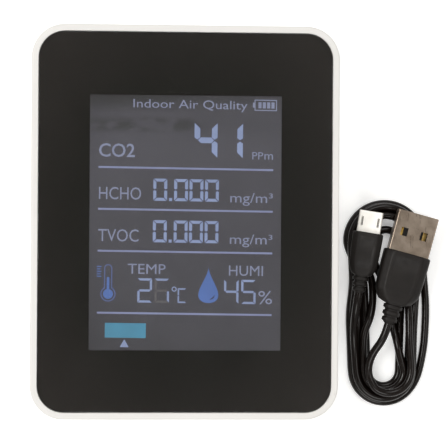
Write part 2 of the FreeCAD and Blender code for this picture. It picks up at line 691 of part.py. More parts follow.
def grip(width, thick, length, bevel, neck):
    """A moulded plug grip that runs back from the origin along -Y to a ribbed neck for its cord."""
    w, t = width / 2, thick / 2
    outline = [(w, t - bevel), (w - bevel, t), (-w + bevel, t), (-w, t - bevel),
               (-w, -t + bevel), (-w + bevel, -t), (w - bevel, -t), (w, -t + bevel)]
    waist = -SHOULDER_START * length
    body = prism([(x, 0, z) for x, z in outline], (0, waist, 0))
    ring = outline + outline[:1]
    wide = Part.makePolygon([vec(x, waist, z) for x, z in ring])
    narrow = Part.makePolygon([vec(x * SHOULDER_W, -length, z * SHOULDER_T) for x, z in ring])
    pieces = [body, Part.makeLoft([wide, narrow], True, True)]
    neck_w, neck_t, neck_l = neck
    pieces.append(bar(neck_w - NECK_GROOVE, neck_t - NECK_GROOVE, -length - neck_l, -length + 0.5))
    step = neck_l / (2 * NECK_RIBS)
    for i in range(NECK_RIBS):
        back = -length - step * (2 * i + 2)
        pieces.append(bar(neck_w, neck_t, back, back + step))
    return fused(pieces)


def place_micro(shape):
    return turned(shape, MICRO_ROLL, MICRO_TURN, lead_at(*MICRO_PLACE))


def place_usb_a(shape):
    return turned(shape, 0.0, USB_A_TURN, lead_at(*USB_A_PLACE))


def hollow_shell(size, wall, root):
    """A rectangular metal shell open at its tip, seated root deep in its grip."""
    width, thick, length = size
    outer = Part.makeBox(width, length + root, thick, vec(-width / 2, -root, -thick / 2))
    along = [e for e in outer.Edges if abs(e.Vertexes[0].Y - e.Vertexes[-1].Y) > 1e-6]
    outer = outer.makeFillet(0.4, along)
    inner = Part.makeBox(width - 2 * wall, length + root, thick - 2 * wall,
                         vec(-width / 2 + wall, -root + wall, -thick / 2 + wall))
    return outer.cut(inner)


def micro_plug_shell():
    shell = hollow_shell(MICRO_SHELL, 0.25, 0.0)
    slots = [Part.makeBox(0.6, 2.6, 1.0, vec(side * 2.35 - 0.3, 1.8, 0.4)) for side in (-1, 1)]
    return place_micro(shell.cut(Part.makeCompound(slots)))


def micro_plug_tongue():
    return place_micro(Part.makeBox(4.4, 4.6, 0.6, vec(-2.2, 0.25, -0.5)))


def micro_plug_grip():
    return place_micro(grip(*MICRO_GRIP, MICRO_NECK))


def usb_a_shell():
    shell = hollow_shell(USB_A_SHELL, 0.3, 0.0)
    holes = [Part.makeBox(2.0, 2.4, 1.0, vec(side * 2.9 - 1.0, 4.6, 1.8)) for side in (-1, 1)]
    return place_usb_a(shell.cut(Part.makeCompound(holes)))


def usb_a_tongue():
    return place_usb_a(Part.makeBox(11.2, 10.4, 1.8, vec(-5.6, 0.3, -1.9)))


def usb_a_contacts():
    strips = [Part.makeBox(1.1, 6.6, 0.15, vec(x - 0.55, 3.6, -0.1)) for x in (-3.5, -1.0, 1.0, 3.5)]
    return place_usb_a(Part.makeCompound(strips))


def usb_a_grip():
    return place_usb_a(grip(*USB_A_GRIP, USB_A_NECK))


def behind(place, turn, distance):
    """A point behind a plug's grip, on its axis, beside the hank's centre."""
    angle = math.radians(turn)
    return (place[0] + distance * math.sin(angle), place[1] - distance * math.cos(angle), place[2])


def cord_run(place, turn, plug_length, straight, drop):
    """The cord from the back of a plug's neck down into the hank."""
    tail = behind(place, turn, plug_length)
    along = behind(place, turn, plug_length + straight)
    return tube([lead_at(*p) for p in [tail, along] + drop], CORD_D)


def lead_micro_run():
    length = MICRO_GRIP[2] + MICRO_NECK[2]
    return cord_run(MICRO_PLACE, MICRO_TURN, length, MICRO_STRAIGHT, MICRO_DROP)


def lead_usb_a_run():
    length = USB_A_GRIP[2] + USB_A_NECK[2]
    return cord_run(USB_A_PLACE, USB_A_TURN, length, USB_A_STRAIGHT, USB_A_DROP)


def collect():
    PARTS["front_frame"] = front_frame()
    PARTS["rear_cover"] = rear_cover()
    PARTS["dust_mesh"] = dust_mesh()
    PARTS["case_screws"] = screw_group(
        screw(SCREW_SHAFT_R, SCREW_HEAD_R, SCREW_HEAD_H, COUNTERBORE_Z, 18.0), CASE_SCREW_X, CASE_SCREW_Y)
    PARTS["board_screws"] = screw_group(
        screw(BOARD_SCREW_R, 2.0, 1.2, BOARD_BOTTOM, 19.0), BOARD_SCREW_X, BOARD_SCREW_Y)
    for make in (front_lens, border_print, lens_tape, lcd_polariser, lcd_front_glass, lcd_rear_glass,
                 backlight_frame, light_guide, diffuser_sheet, lcd_flex, flex_connector, main_board,
                 board_components, co2_sensor, co2_membrane, buzzer, chamber_seal, usb_socket, usb_tongue,
                 battery, battery_pad, battery_connector, battery_wires, lead_hank, lead_micro_run,
                 lead_usb_a_run, micro_plug_shell, micro_plug_tongue, micro_plug_grip, usb_a_shell,
                 usb_a_tongue, usb_a_contacts, usb_a_grip):
        PARTS[make.__name__] = make()
    PARTS["microcontroller"] = chip(10.0, 10.0, 1.5, (0.0, 2.0))
    for gas, can, at in (("hcho", HCHO_CAN, HCHO_AT), ("tvoc", TVOC_CAN, TVOC_AT)):
        PARTS[gas + "_sensor"] = sensor_can(*can, at)
        PARTS[gas + "_mesh"] = sensor_mesh(*can, at)
    PARTS["climate_sensor"] = block(3.6, 3.6, BOARD_BOTTOM - 1.2, BOARD_BOTTOM, CLIMATE_AT)
    for name, x in BUTTONS.items():
        PARTS[name + "_button_cap"] = button_cap(x)
        PARTS[name + "_switch"] = switch_body(x)
        PARTS[name + "_switch_plunger"] = switch_plunger(x)


def export():
    os.makedirs("parts", exist_ok=True)
    for name, shape in PARTS.items():
        solids = shape.Solids
        if not solids or not shape.isValid():
            raise SystemExit("bad shape: " + name)
        whole = solids[0] if len(solids) == 1 else Part.makeCompound(solids)
        whole.exportStep(os.path.join("parts", name + ".step"))
        print("%-24s %2d solid(s) %10.1f mm3" % (name, len(solids), whole.Volume))


collect()
export()
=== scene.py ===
"""Looks of the air quality monitor: its case, glass front, lit display and wound charging lead."""
import math

import bmesh
import bpy
from mathutils import Matrix, Vector


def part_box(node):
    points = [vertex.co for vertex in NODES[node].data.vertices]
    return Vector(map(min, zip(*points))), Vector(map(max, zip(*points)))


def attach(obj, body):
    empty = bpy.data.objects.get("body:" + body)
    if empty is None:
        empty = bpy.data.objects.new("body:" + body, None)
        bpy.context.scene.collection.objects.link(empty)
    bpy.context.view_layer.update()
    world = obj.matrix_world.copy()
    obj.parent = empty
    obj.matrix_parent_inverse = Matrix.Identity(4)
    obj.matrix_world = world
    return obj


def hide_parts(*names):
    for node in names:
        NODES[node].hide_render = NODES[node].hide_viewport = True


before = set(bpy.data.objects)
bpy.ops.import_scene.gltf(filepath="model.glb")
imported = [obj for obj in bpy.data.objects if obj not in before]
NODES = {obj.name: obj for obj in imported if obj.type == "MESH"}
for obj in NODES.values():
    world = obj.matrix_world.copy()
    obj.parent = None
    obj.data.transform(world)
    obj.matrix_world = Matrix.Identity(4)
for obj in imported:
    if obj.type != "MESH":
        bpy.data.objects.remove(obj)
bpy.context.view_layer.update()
MM = 0.001

# --- Places taken from the frame ------------------------------------------------------------------
CASE_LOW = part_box("rear_cover")[0]
CASE_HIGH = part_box("front_frame")[1]
DISPLAY_LOW, DISPLAY_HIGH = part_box("lcd_rear_glass")
DISPLAY_X = (DISPLAY_LOW.x + DISPLAY_HIGH.x) / 2
DISPLAY_Y = (DISPLAY_LOW.y + DISPLAY_HIGH.y) / 2
DISPLAY_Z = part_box("lcd_polariser")[1].z
HANK_LOW, HANK_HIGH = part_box("lead_hank")

# --- Camera: above the screen, a little to its left -----------------------------------------------
VIEW_WIDTH = 124.9 * MM           # what the frame takes in at the screen's height
VIEW_DISTANCE = 450 * MM
SENSOR = 36.0
AIM = (10.7 * MM, -0.38 * MM)     # the point it looks at, at the screen's height
LEAN = math.radians(3.0)          # from straight above towards -X
ROLL = math.radians(0.36)

# --- Light ----------------------------------------------------------------------------------------
WORLD_STOPS = ((0.0, (0.62, 0.62, 0.61)),        # height in the sky, 1 being straight up, and colour
               (0.985, (0.26, 0.25, 0.225)),
               (1.0, (0.215, 0.203, 0.176)))
# Name, place, power and colour of each softbox.
SOFTBOXES = (("left_softbox", (-0.66, 0.16, 1.1), 6.7, (1.0, 0.988, 0.968)),
             ("right_softbox", (0.66, -0.08, 1.1), 1.75, (1.0, 0.995, 0.985)),
             ("top_softbox", (0.07, 0.68, 1.1), 2.95, (1.0, 1.0, 1.0)),
             ("bottom_softbox", (-0.07, -0.68, 1.05), 3.65, (1.0, 0.995, 0.98)))
SOFTBOX_SIZE = 0.5
FLOOR_HALF = 1.6
FLOOR_GAP = 0.02 * MM             # from the case down to the floor
FLOOR_GLOW = 0.32                 # the floor is a lightly lit table, so shadows stay pale

# --- Charging lead, in millimetres from the middle of its hank ------------------------------------
CORD_D = 2.3
HANK_TOP_R = 12.5                 # radius of the hank's upper end
HANK_FOOT_R = 10.8                # radius of its narrower lower end
HANK_HALF = 30.5                  # half its length
MICRO_PLACE = (-5.8, 20.6, 8.6)   # front of the plug's grip
MICRO_ROLL = math.radians(-7.0)
MICRO_TURN = math.radians(-9.0)   # about Z, from pointing along +Y
MICRO_BACK = 17.5                 # from the front of the grip back to where the cord comes out
MICRO_GRIP = (4.4, 2.8, 12.5)     # half width, half thickness and length
MICRO_NECK = (2.35, 1.95)         # half width and half thickness
USB_A_PLACE = (5.7, 14.6, 8.2)
USB_A_ROLL = 0.0
USB_A_TURN = math.radians(-15.0)
USB_A_BACK = 21.0
USB_A_GRIP = (6.8, 3.4, 15.0)
USB_A_NECK = (2.8, 2.3)
MICRO_STRAIGHT = 5.0              # the cord's first straight run behind each plug
USB_A_STRAIGHT = 4.5
MICRO_DROP = [(-9.4, -8.6, 4.2), (-8.7, -16.0, 3.2)]        # the cord's way down into the hank
USB_A_DROP = [(-4.4, -15.0, 6.2), (-5.4, -20.2, 5.2)]

# Lanes across the bundle and heights above the floor, in cord diameters.
OUTER, MIDDLE, INNER, INMOST = 0.5, 1.56, 2.62, 3.7
BULGE = -0.3                      # where the outer turn stands away from the rest
GROOVE_OUT, GROOVE_IN = 1.03, 2.09
FLOOR, SECOND, THIRD = 0.5, 1.4, 2.3        # a cord on the floor, and in the two layers on it

# The doubled cord's two halves, one from each plug. Each row is an angle in degrees, a lane and a height.
MICRO_HALF = [
    (190, GROOVE_OUT, SECOND), (310, GROOVE_OUT, SECOND), (345, 1.15, SECOND + 0.03),
    (385, 1.12, SECOND + 0.02), (410, GROOVE_OUT, SECOND), (500, GROOVE_OUT, SECOND),
    (520, GROOVE_OUT, SECOND + 0.15), (550, OUTER, FLOOR), (655, OUTER, FLOOR),
    (698, BULGE, FLOOR), (712, BULGE, FLOOR), (762, OUTER, FLOOR), (855, OUTER, FLOOR),
    (885, INNER, FLOOR), (1120, INNER, FLOOR),
]
USB_A_HALF = [
    (225, 2.3, THIRD), (315, 1.3, THIRD), (340, 1.75, THIRD),
    (378, GROOVE_IN + 0.05, SECOND + 0.05), (500, GROOVE_IN, SECOND),
    (520, GROOVE_IN, SECOND + 0.1), (550, MIDDLE, FLOOR), (855, MIDDLE, FLOOR),
    (885, INMOST, FLOOR), (896, INMOST, FLOOR + 0.2), (908, INNER + 0.5, SECOND + 0.1),
    (922, GROOVE_IN, SECOND), (1035, GROOVE_IN, SECOND), (1050, INNER + 0.3, SECOND + 0.1),
    (1072, INMOST, FLOOR), (1120, INMOST, FLOOR),
]
MICRO_SPAN = (227, 1098)          # degrees wound by each half
USB_A_SPAN = (252, 1080)
TURN_STEP = 9                     # degrees of a turn from one point to the next
LOOSENESS = 0.08                  # how much further apart the turns lie down the right side
SWAY = 0.06                       # cord diameters by which the turns wander from their lanes
SWAY_PACE = 1.37                  # swings of that wander for each turn of the hank
SWAY_START = 40

# Steps across and along: round the fold from the micro half's end, and off the other half's end.
FOLD_STEPS = [(0.3, 4.5), (0.4, 9.0), (-1.2, 13.2), (-4.6, 15.2), (-8.2, 13.8), (-9.6, 9.6), (-8.4, 4.8),
              (-5.6, 0.0)]
FOLD_END_STEP = (-0.8, 3.6)


def hank_centre():
    return Vector(((HANK_LOW.x + HANK_HIGH.x) / 2, (HANK_LOW.y + HANK_HIGH.y) / 2, 0.0))


def behind(place, turn, distance):
    """A point on a plug's axis, behind the front of its grip."""
    x, y, z = place
    return (x + distance * math.sin(turn), y - distance * math.cos(turn), z)


def eased(share):
    share = min(max(share, 0.0), 1.0)
    return share * share * (3 - 2 * share)


def lane_at(keys, angle):
    """The lane and height at an angle, eased from one key to the next."""
    for (a0, lane0, height0), (a1, lane1, height1) in zip(keys, keys[1:]):
        if angle <= a1:
            share = eased((angle - a0) / (a1 - a0))
            return lane0 + (lane1 - lane0) * share, height0 + (height1 - height0) * share
    return keys[-1][1:]


def oval(angle, inset):
    """A point of the tapered oval, whose two sides and two end arcs are a quarter turn each."""
    part, share = divmod((angle + 45) % 360 / 90, 1)        # right side, top arc, left side, foot arc
    top_v = HANK_HALF - HANK_TOP_R
    foot_v = HANK_FOOT_R - HANK_HALF
    if part == 1:
        radius = HANK_TOP_R - inset
        return radius * math.cos(math.pi * share), top_v + radius * math.sin(math.pi * share)
    if part == 3:
        radius = HANK_FOOT_R - inset
        return -radius * math.cos(math.pi * share), foot_v - radius * math.sin(math.pi * share)
    if part == 0:
        return HANK_FOOT_R + (HANK_TOP_R - HANK_FOOT_R) * share - inset, foot_v + (top_v - foot_v) * share
    return inset - HANK_TOP_R - (HANK_FOOT_R - HANK_TOP_R) * share, top_v + (foot_v - top_v) * share


def half_lead(keys, span):
    """The turns of one half of the doubled cord, looser down the right side."""
    points = []
    start, stop = span
    count = round((stop - start) / TURN_STEP)
    for i in range(count + 1):
        angle = start + (stop - start) * i / count
        lane, height = lane_at(keys, angle)
        spread = 1 + LOOSENESS * max(0.0, math.cos(math.radians(angle))) ** 2
        sway = SWAY * math.sin(math.radians(angle * SWAY_PACE + SWAY_START))
        u, v = oval(angle, (lane * spread + sway) * CORD_D)
        points.append((u, v, height * CORD_D))
    return points


def lead_route():
    """The whole cord: micro plug, one half's turns, the fold, the other half's turns, USB-A plug."""
    from_micro = [behind(MICRO_PLACE, MICRO_TURN, MICRO_BACK),
                  behind(MICRO_PLACE, MICRO_TURN, MICRO_BACK + MICRO_STRAIGHT)] + MICRO_DROP
    from_usb_a = [behind(USB_A_PLACE, USB_A_TURN, USB_A_BACK),
                  behind(USB_A_PLACE, USB_A_TURN, USB_A_BACK + USB_A_STRAIGHT)] + USB_A_DROP
    first = half_lead(MICRO_HALF, MICRO_SPAN)
    second = half_lead(USB_A_HALF, USB_A_SPAN)
    u, v, z = first[-1]
    fold = [(u + across, v + along, z) for across, along in FOLD_STEPS]
    u, v, z = second[-1]
    fold.append((u + FOLD_END_STEP[0], v + FOLD_END_STEP[1], z))
    return from_micro + first + fold + second[::-1] + from_usb_a[::-1]


def from_hank(point):
    """A point given in millimetres from the hank's middle, in the row frame."""
    return hank_centre() + Vector(point) * MM


# --- Mesh helpers ---------------------------------------------------------------------------------
def linked(name, data):
    """A new object in the scene."""
    thing = bpy.data.objects.new(name, data)
    bpy.context.scene.collection.objects.link(thing)
    return thing


def mesh_of(bm, name):
    """A mesh made from bm, which is then freed."""
    mesh = bpy.data.meshes.new(name)
    bm.to_mesh(mesh)
    bm.free()
    return mesh


def add_piece(name, data, body, material):
    """A new piece that rides on a body."""
    piece = linked(name, data)
    data.materials.append(material)
    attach(piece, body)
    return piece


def prisms(name, outlines, z0, z1, material):
    """Closed slabs over flat outlines, each a list of points or an (outer, inner) pair of equal length."""
    bm = bmesh.new()
    for outline in outlines:
        if isinstance(outline, tuple):
            add_ring(bm, *outline, z0, z1)
        else:
            add_slab(bm, outline, z0, z1)
    bmesh.ops.recalc_face_normals(bm, faces=bm.faces)
    return add_piece(name, mesh_of(bm, name), "case", material)


def add_slab(bm, outline, z0, z1):
    low = [bm.verts.new((x, y, z0)) for x, y in outline]
    high = [bm.verts.new((x, y, z1)) for x, y in outline]
    bm.faces.new(low)
    bm.faces.new(high)
    for i in range(len(outline)):
        j = (i + 1) % len(outline)
        bm.faces.new((low[i], low[j], high[j], high[i]))


def add_ring(bm, outer, inner, z0, z1):
    loops = [[bm.verts.new((x, y, z)) for x, y in loop] for loop in (outer, inner) for z in (z0, z1)]
    outer_low, outer_high, inner_low, inner_high = loops
    for i in range(len(outer)):
        j = (i + 1) % len(outer)
        bm.faces.new((outer_low[i], outer_low[j], outer_high[j], outer_high[i]))
        bm.faces.new((inner_low[i], inner_low[j], inner_high[j], inner_high[i]))
        bm.faces.new((outer_high[i], outer_high[j], inner_high[j], inner_high[i]))
        bm.faces.new((outer_low[i], outer_low[j], inner_low[j], inner_low[i]))


def rectangle(x0, x1, y0, y1):
    return [(x0, y0), (x1, y0), (x1, y1), (x0, y1)]


def strip(y, x0, x1, half):
    """A rectangle whose middle is at the height y."""
    return rectangle(x0, x1, y - half, y + half)


def circle(x, y, radius, count=32):
    turns = [2 * math.pi * i / count for i in range(count)]
    return [(x + radius * math.cos(t), y + radius * math.sin(t)) for t in turns]


# --- Display layout, in millimetres from the display's centre -------------------------------------
ROW_SLOPE = -0.0108                         # the artwork's rows and columns sit a hair off square
COLUMN_SLOPE = 0.0049
LAYER = 0.03 * MM                           # from one layer of artwork up to the next
RULES = (15.2, 3.54, -8.13, -25.4)          # heights of the four dividing lines
RULE_HALF = 24.4
RULE_T = 0.53
SHADOW_GROWTH = 0.16                               # a dim edge shows round each lit segment, a painted shadow of it on the rear polariser
READING_PITCH = 11.6                        # from the formaldehyde row down to the TVOC row

# Segments from a, the top bar, clockwise to f, with g across the middle.
SEGMENTS = {"0": "abcdef", "1": "bc", "2": "abged", "4": "fgbc", "5": "afgcd", "7": "ac", "C": "afed"}
GHOST_OF_7 = "fged"                         # its unlit segments that show faintly

# Width, height, stroke and gap of each size of digit.
BIG_DIGIT = (6.4, 10.0, 1.55, 0.24)
SMALL_DIGIT = (3.84, 6.16, 0.8, 0.19)
SLIM_DIGIT = (4.05, 6.75, 0.6, 0.13)
THIN_LETTER = (2.37, 4.1, 0.4, 0.06)

# Left edges and feet of the readings.
CO2_LEFTS = (2.28, 9.4)
CO2_FOOT = 18.2
GAS_LEFTS = (-9.06, -3.25, 1.04, 5.38)
GAS_FOOT = 6.07
GAS_POINT = (-4.62, -3.84)                  # left and right edge of the decimal point
GAS_POINT_TALL = 0.78
TEMPERATURE_LEFTS = (-13.2, -8.42)
HUMIDITY_LEFTS = (11.0, 15.8)
CLIMATE_FOOT = -22.4
CELSIUS_LEFT = -1.97
CELSIUS_FOOT = -22.37
DEGREE_AT = (-2.95, -18.53)
DEGREE_RADII = (0.72, 0.42)

# Name, text, box and extra weight of each label. A box is left, right, foot and top of the capitals.
LABELS = (
    ("label_header", "Indoor Air Quality", (-14.9, 17.0, 32.0, 34.5), 0.0),
    ("label_co2", "CO2", (-24.3, -14.35, 18.15, 22.0), 0.01),
    ("label_pp", "PP", (18.5, 21.55, 18.12, 20.3), 0.0),
    ("label_m", "m", (21.9, 24.3, 18.12, 20.6), 0.0),
    ("label_hcho", "HCHO", (-24.2, -12.45, 6.27, 9.9), 0.0),
    ("label_tvoc", "TVOC", (-24.3, -13.05, -5.45, -1.85), 0.0),
    ("label_temperature", "TEMP", (-15.95, -5.4, -14.4, -11.45), 0.0),
    ("label_humidity", "HUMI", (12.3, 21.85, -14.5, -11.5), 0.0),
    ("label_percent", "%", (20.6, 24.5, -22.35, -18.45), 0.0),
    ("unit_hcho", "mg/m³", (12.45, 24.4, 5.98, 8.83), 0.0),
    ("unit_tvoc", "mg/m³", (12.45, 24.4, 5.98 - READING_PITCH, 8.83 - READING_PITCH), 0.0),
)
CAP_HEIGHT = 0.73                           # the built-in font's capital height at size 1
TEXT_EXTRUDE = 0.005

# Parts of the battery icon: left, right and half height.
BATTERY_Y = 33.3
BATTERY_CASE = (18.98, 25.26, 1.55)
BATTERY_HOLLOW = (19.24, 25.0, 1.29)
BATTERY_NUB = (18.5, 18.98, 0.7)
BATTERY_BAR = (20.05, 20.93, 0.85)          # the bar at the left
BAR_COUNT = 4
BAR_PITCH = 1.22

# Parts of the thermometer icon: bulb radius, half the tube's width, and the tube's top.
BULB_AT = (-21.39, -20.14)
THERMOMETER_OUTER = (2.12, 1.13, -11.85)
THERMOMETER_INNER = (1.8, 0.83, -12.15)
THERMOMETER_COLUMN = (1.39, 0.36, -15.4)
TICK_LEFT = -24.55
TICK_RIGHT = -23.3
TICK_SHORTER = 0.25                         # every other tick is this much shorter
TICK_FOOT = -15.4
TICK_T = 0.3
TICK_COUNT = 5
TICK_PITCH = 0.68

DROP_AT = (6.6, -17.26)
DROP_SIZE = (5.58, 10.04)
DROP_POWER = 2.5                            # how slender the drop's tip is
DROP_WIDEST = 0.607                         # its widest reach before it is scaled, at that power
CRESCENT_DOWN = 2.2                         # from the drop's middle to the centre of its dark crescent
CRESCENT_R = 1.85
CRESCENT_W = 0.42
CRESCENT_SPAN = (-78, -18)                  # degrees
BAND_END = 0.08                             # where the half wave of a curved band's width is cut short

LEVEL_BAR = (-22.15, -10.75, -32.3, -28.2)
POINTER = [(-17.96, -34.9), (-15.46, -34.9), (-16.71, -32.72)]


def segment(letter, size):
    """The outline of one segment of a digit whose lower left corner is the origin."""
    w, h, t, gap = size
    half = h / 2
    if letter in "bf":
        outline = [(0, h - gap), (t, h - t - gap), (t, half + t / 2), (t / 2, half + gap),
                   (0, half + t / 2)]
    elif letter in "ce":
        outline = [(0, gap), (t, t + gap), (t, half - t / 2), (t / 2, half - gap), (0, half - t / 2)]
    elif letter == "g":
        outline = [(t / 2 + gap, half), (t + gap, half + t / 2), (w - t - gap, half + t / 2),
                   (w - t / 2 - gap, half), (w - t - gap, half - t / 2), (t + gap, half - t / 2)]
    elif letter == "a":
        outline = [(gap, h), (w - gap, h), (w - t - gap, h - t), (t + gap, h - t)]
    else:
        outline = [(gap, 0), (w - gap, 0), (w - t - gap, t), (t + gap, t)]
    if letter in "bc":
        outline = [(w - x, y) for x, y in outline]
    return outline


def digit(letters, x, y, size):
    """The outlines of the given segments of a digit whose lower left corner is at x, y."""
    return [[(x + px, y + py) for px, py in segment(letter, size)] for letter in letters]


def on_display(point):
    """A point in millimetres from the display's centre, in the row frame."""
    x, y = point
    return (DISPLAY_X + (x + COLUMN_SLOPE * y) * MM, DISPLAY_Y + (y + ROW_SLOPE * x) * MM)


def grown(outline, amount):
    """A convex outline with its points moved away from its middle."""
    cx = sum(x for x, y in outline) / len(outline)
    cy = sum(y for x, y in outline) / len(outline)
    points = []
    for x, y in outline:
        reach = math.hypot(x - cx, y - cy)
        points.append((x + amount * (x - cx) / reach, y + amount * (y - cy) / reach))
    return points


def placed(outline):
    """An outline, or an (outer, inner) pair of them, in the row frame."""
    if isinstance(outline, tuple):
        return tuple([on_display(p) for p in loop] for loop in outline)
    return [on_display(p) for p in outline]


def shown(name, outlines, material, layer=1):
    """Display artwork as thin slabs just above the polariser."""
    z = DISPLAY_Z + layer * LAYER
    piece = prisms(name, [placed(o) for o in outlines], z, z + 0.5 * LAYER, material)
    return piece


def lettering(name, words, box, weight, material):
    """Text stretched over a box on the display."""
    curve = bpy.data.curves.new(name + "_text", "FONT")
    curve.body = words
    curve.resolution_u = 3
    curve.extrude = TEXT_EXTRUDE
    curve.offset = weight
    source = linked(name + "_text", curve)
    bpy.context.view_layer.update()
    mesh = bpy.data.meshes.new_from_object(source.evaluated_get(bpy.context.evaluated_depsgraph_get()))
    bpy.data.objects.remove(source)
    mesh.name = name
    left, right, low, high = box
    x0 = min(vertex.co.x for vertex in mesh.vertices)
    x1 = max(vertex.co.x for vertex in mesh.vertices)
    for vertex in mesh.vertices:
        x, y, z = vertex.co
        px = left + (right - left) * (x - x0) / (x1 - x0)
        py = low + (high - low) * y / CAP_HEIGHT
        layers = 1.5 if z > 0 else 1.0
        vertex.co = (*on_display((px, py)), DISPLAY_Z + LAYER * layers)
    piece = add_piece(name, mesh, "case", material)
    return piece


def keyhole(radius, half, top, centre, count=28):
    """The outline of a bulb with a round-topped tube."""
    x, y = centre
    neck = math.acos(half / radius)
    points = []
    for i in range(count + 1):
        angle = math.pi - neck + (math.pi + 2 * neck) * i / count
        points.append((x + radius * math.cos(angle), y + radius * math.sin(angle)))
    for i in range(count // 2 + 1):
        angle = math.pi * i / (count // 2)
        points.append((x + half * math.cos(angle), top - half + half * math.sin(angle)))
    return points


def teardrop(x, y, width, height, count=40):
    """A drop with its tip up, centred on x, y."""
    points = []
    for i in range(count):
        t = 2 * math.pi * (i + 0.5) / count
        across = math.sin(t) * math.sin(t / 2) ** DROP_POWER / DROP_WIDEST
        points.append((x + width / 2 * across, y + height / 2 * math.cos(t)))
    return points


def arc_band(x, y, radius, width, start, stop, count=12):
    """A thin curved band with tapered ends."""
    outer, inner = [], []
    for i in range(count + 1):
        share = i / count
        angle = math.radians(start + (stop - start) * share)
        half = width / 2 * math.sin(math.pi * (BAND_END + (1 - 2 * BAND_END) * share))
        outer.append((x + (radius + half) * math.cos(angle), y + (radius + half) * math.sin(angle)))
        inner.append((x + (radius - half) * math.cos(angle), y + (radius - half) * math.sin(angle)))
    return outer + inner[::-1]


def number(figures, lefts, foot, size):
    """The outlines of a row of figures."""
    outlines = []
    for figure, left in zip(figures, lefts):
        outlines += digit(SEGMENTS[figure], left, foot, size)
    return outlines


def reading(name, outlines, materials):
    """Lit segments over a slightly larger dim copy, their painted shadow on the rear polariser."""
    shown(name, outlines, materials["lit"], layer=2)
    shown(name + "_painted_shadow", [grown(outline, SHADOW_GROWTH) for outline in outlines], materials["painted_shadow"])


def display_readings(materials):
    """The seven-segment numbers."""
    reading("digits_co2", number("41", CO2_LEFTS, CO2_FOOT, BIG_DIGIT), materials)
    for name, foot in (("digits_hcho", GAS_FOOT), ("digits_tvoc", GAS_FOOT - READING_PITCH)):
        point = rectangle(*GAS_POINT, foot, foot + GAS_POINT_TALL)
        reading(name, number("0000", GAS_LEFTS, foot, SMALL_DIGIT) + [point], materials)
    temperature = number("27", TEMPERATURE_LEFTS, CLIMATE_FOOT, SLIM_DIGIT)
    temperature += digit(SEGMENTS["C"], CELSIUS_LEFT, CELSIUS_FOOT, THIN_LETTER)
    reading("digits_temperature", temperature, materials)
    shown("degree_sign", [tuple(circle(*DEGREE_AT, radius) for radius in DEGREE_RADII)], materials["lit"])
    reading("digits_humidity", number("45", HUMIDITY_LEFTS, CLIMATE_FOOT, SLIM_DIGIT), materials)
    ghost = digit(GHOST_OF_7, TEMPERATURE_LEFTS[1], CLIMATE_FOOT, SLIM_DIGIT)
    shown("digits_ghost", ghost, materials["ghost"])


def display_labels(material):
    for name, words, box, weight in LABELS:
        lettering(name, words, box, weight, material)


def battery_icon(material):
    """Four bars in an outline, with a nub at its left end."""
    outline = (strip(BATTERY_Y, *BATTERY_CASE), strip(BATTERY_Y, *BATTERY_HOLLOW))
    nub = strip(BATTERY_Y, *BATTERY_NUB)
    left, right, half = BATTERY_BAR
    bars = [strip(BATTERY_Y, left + BAR_PITCH * i, right + BAR_PITCH * i, half) for i in range(BAR_COUNT)]
    shown("battery_icon", [outline, nub] + bars, material)


def thermometer_icon(blue, dim_blue):
    """A dim outline with five ticks beside it and a bright column inside."""
    outline = (keyhole(*THERMOMETER_OUTER, BULB_AT), keyhole(*THERMOMETER_INNER, BULB_AT))
    shown("thermometer_outline", [outline], dim_blue)
    ticks = []
    for i in range(TICK_COUNT):
        foot = TICK_FOOT + TICK_PITCH * i
        ticks.append(rectangle(TICK_LEFT, TICK_RIGHT - TICK_SHORTER * (i % 2), foot, foot + TICK_T))
    shown("thermometer_ticks", ticks, blue)
    shown("thermometer_column", [keyhole(*THERMOMETER_COLUMN, BULB_AT)], blue)


def drop_icon(blue, dark):
    """A drop with a dark crescent low on its right."""
    x, y = DROP_AT
    shown("drop_icon", [teardrop(x, y, *DROP_SIZE)], blue)
    crescent = arc_band(x, y - CRESCENT_DOWN, CRESCENT_R, CRESCENT_W, *CRESCENT_SPAN)
    shown("drop_highlight", [crescent], dark, layer=2)


def display_icons(materials):
    shown("rules", [strip(y, -RULE_HALF, RULE_HALF, RULE_T / 2) for y in RULES], materials["rule"])
    battery_icon(materials["label"])
    thermometer_icon(materials["blue"], materials["dim_blue"])
    drop_icon(materials["blue"], materials["dark"])
    shown("level_bar", [rectangle(*LEVEL_BAR)], materials["teal"])
    shown("level_pointer", [POINTER], materials["lit"])


# --- Materials ------------------------------------------------------------------------------------
MIX_COLOURS = (6, 7)              # places of the Mix node's two colour inputs
MIX_RESULT = 2                    # place of its colour output
DARK_BASE = (0.012, 0.012, 0.013, 1)        # the display's own colour where no light comes through
UNEVEN = 0.12                     # how much dimmer lit artwork gets where the backlight is weak
WAVE_SCALE = 0.314                # a Wave texture's scale when its bands are a unit apart

# The display's dark field. Places go from 0 to 1, up it or across it, and a level is a brightness.
FIELD_HALF_Y = 36 * MM
FIELD_HALF_X = 22 * MM
FIELD_LEVELS = ((0.0, 0.043), (0.35, 0.048), (0.58, 0.0515), (0.74, 0.0575), (0.83, 0.0585),
                (0.87, 0.0515), (1.0, 0.05))
HEADER_LEVELS = (0.007, 0.036)              # at the left and the right end of the header
HEADER_FADE = ((0.925, 0), (0.985, 1))
CORNER_LEVEL = 0.024
# Darker blotches in a band high on the display, ending just right of its middle.
BLOTCH_LEVEL = 0.025
BLOTCH_BAND = ((0.845, 0), (0.87, 1), (0.89, 1), (0.915, 0))
BLOTCH_END = ((0.5, 0), (0.65, 1))          # across the display, just right of its middle
BRIGHT_AT = (DISPLAY_X + 14 * MM, DISPLAY_Y + 4 * MM)       # the backlight leaks most round here
BRIGHT_HALF = (44 * MM, 42 * MM)


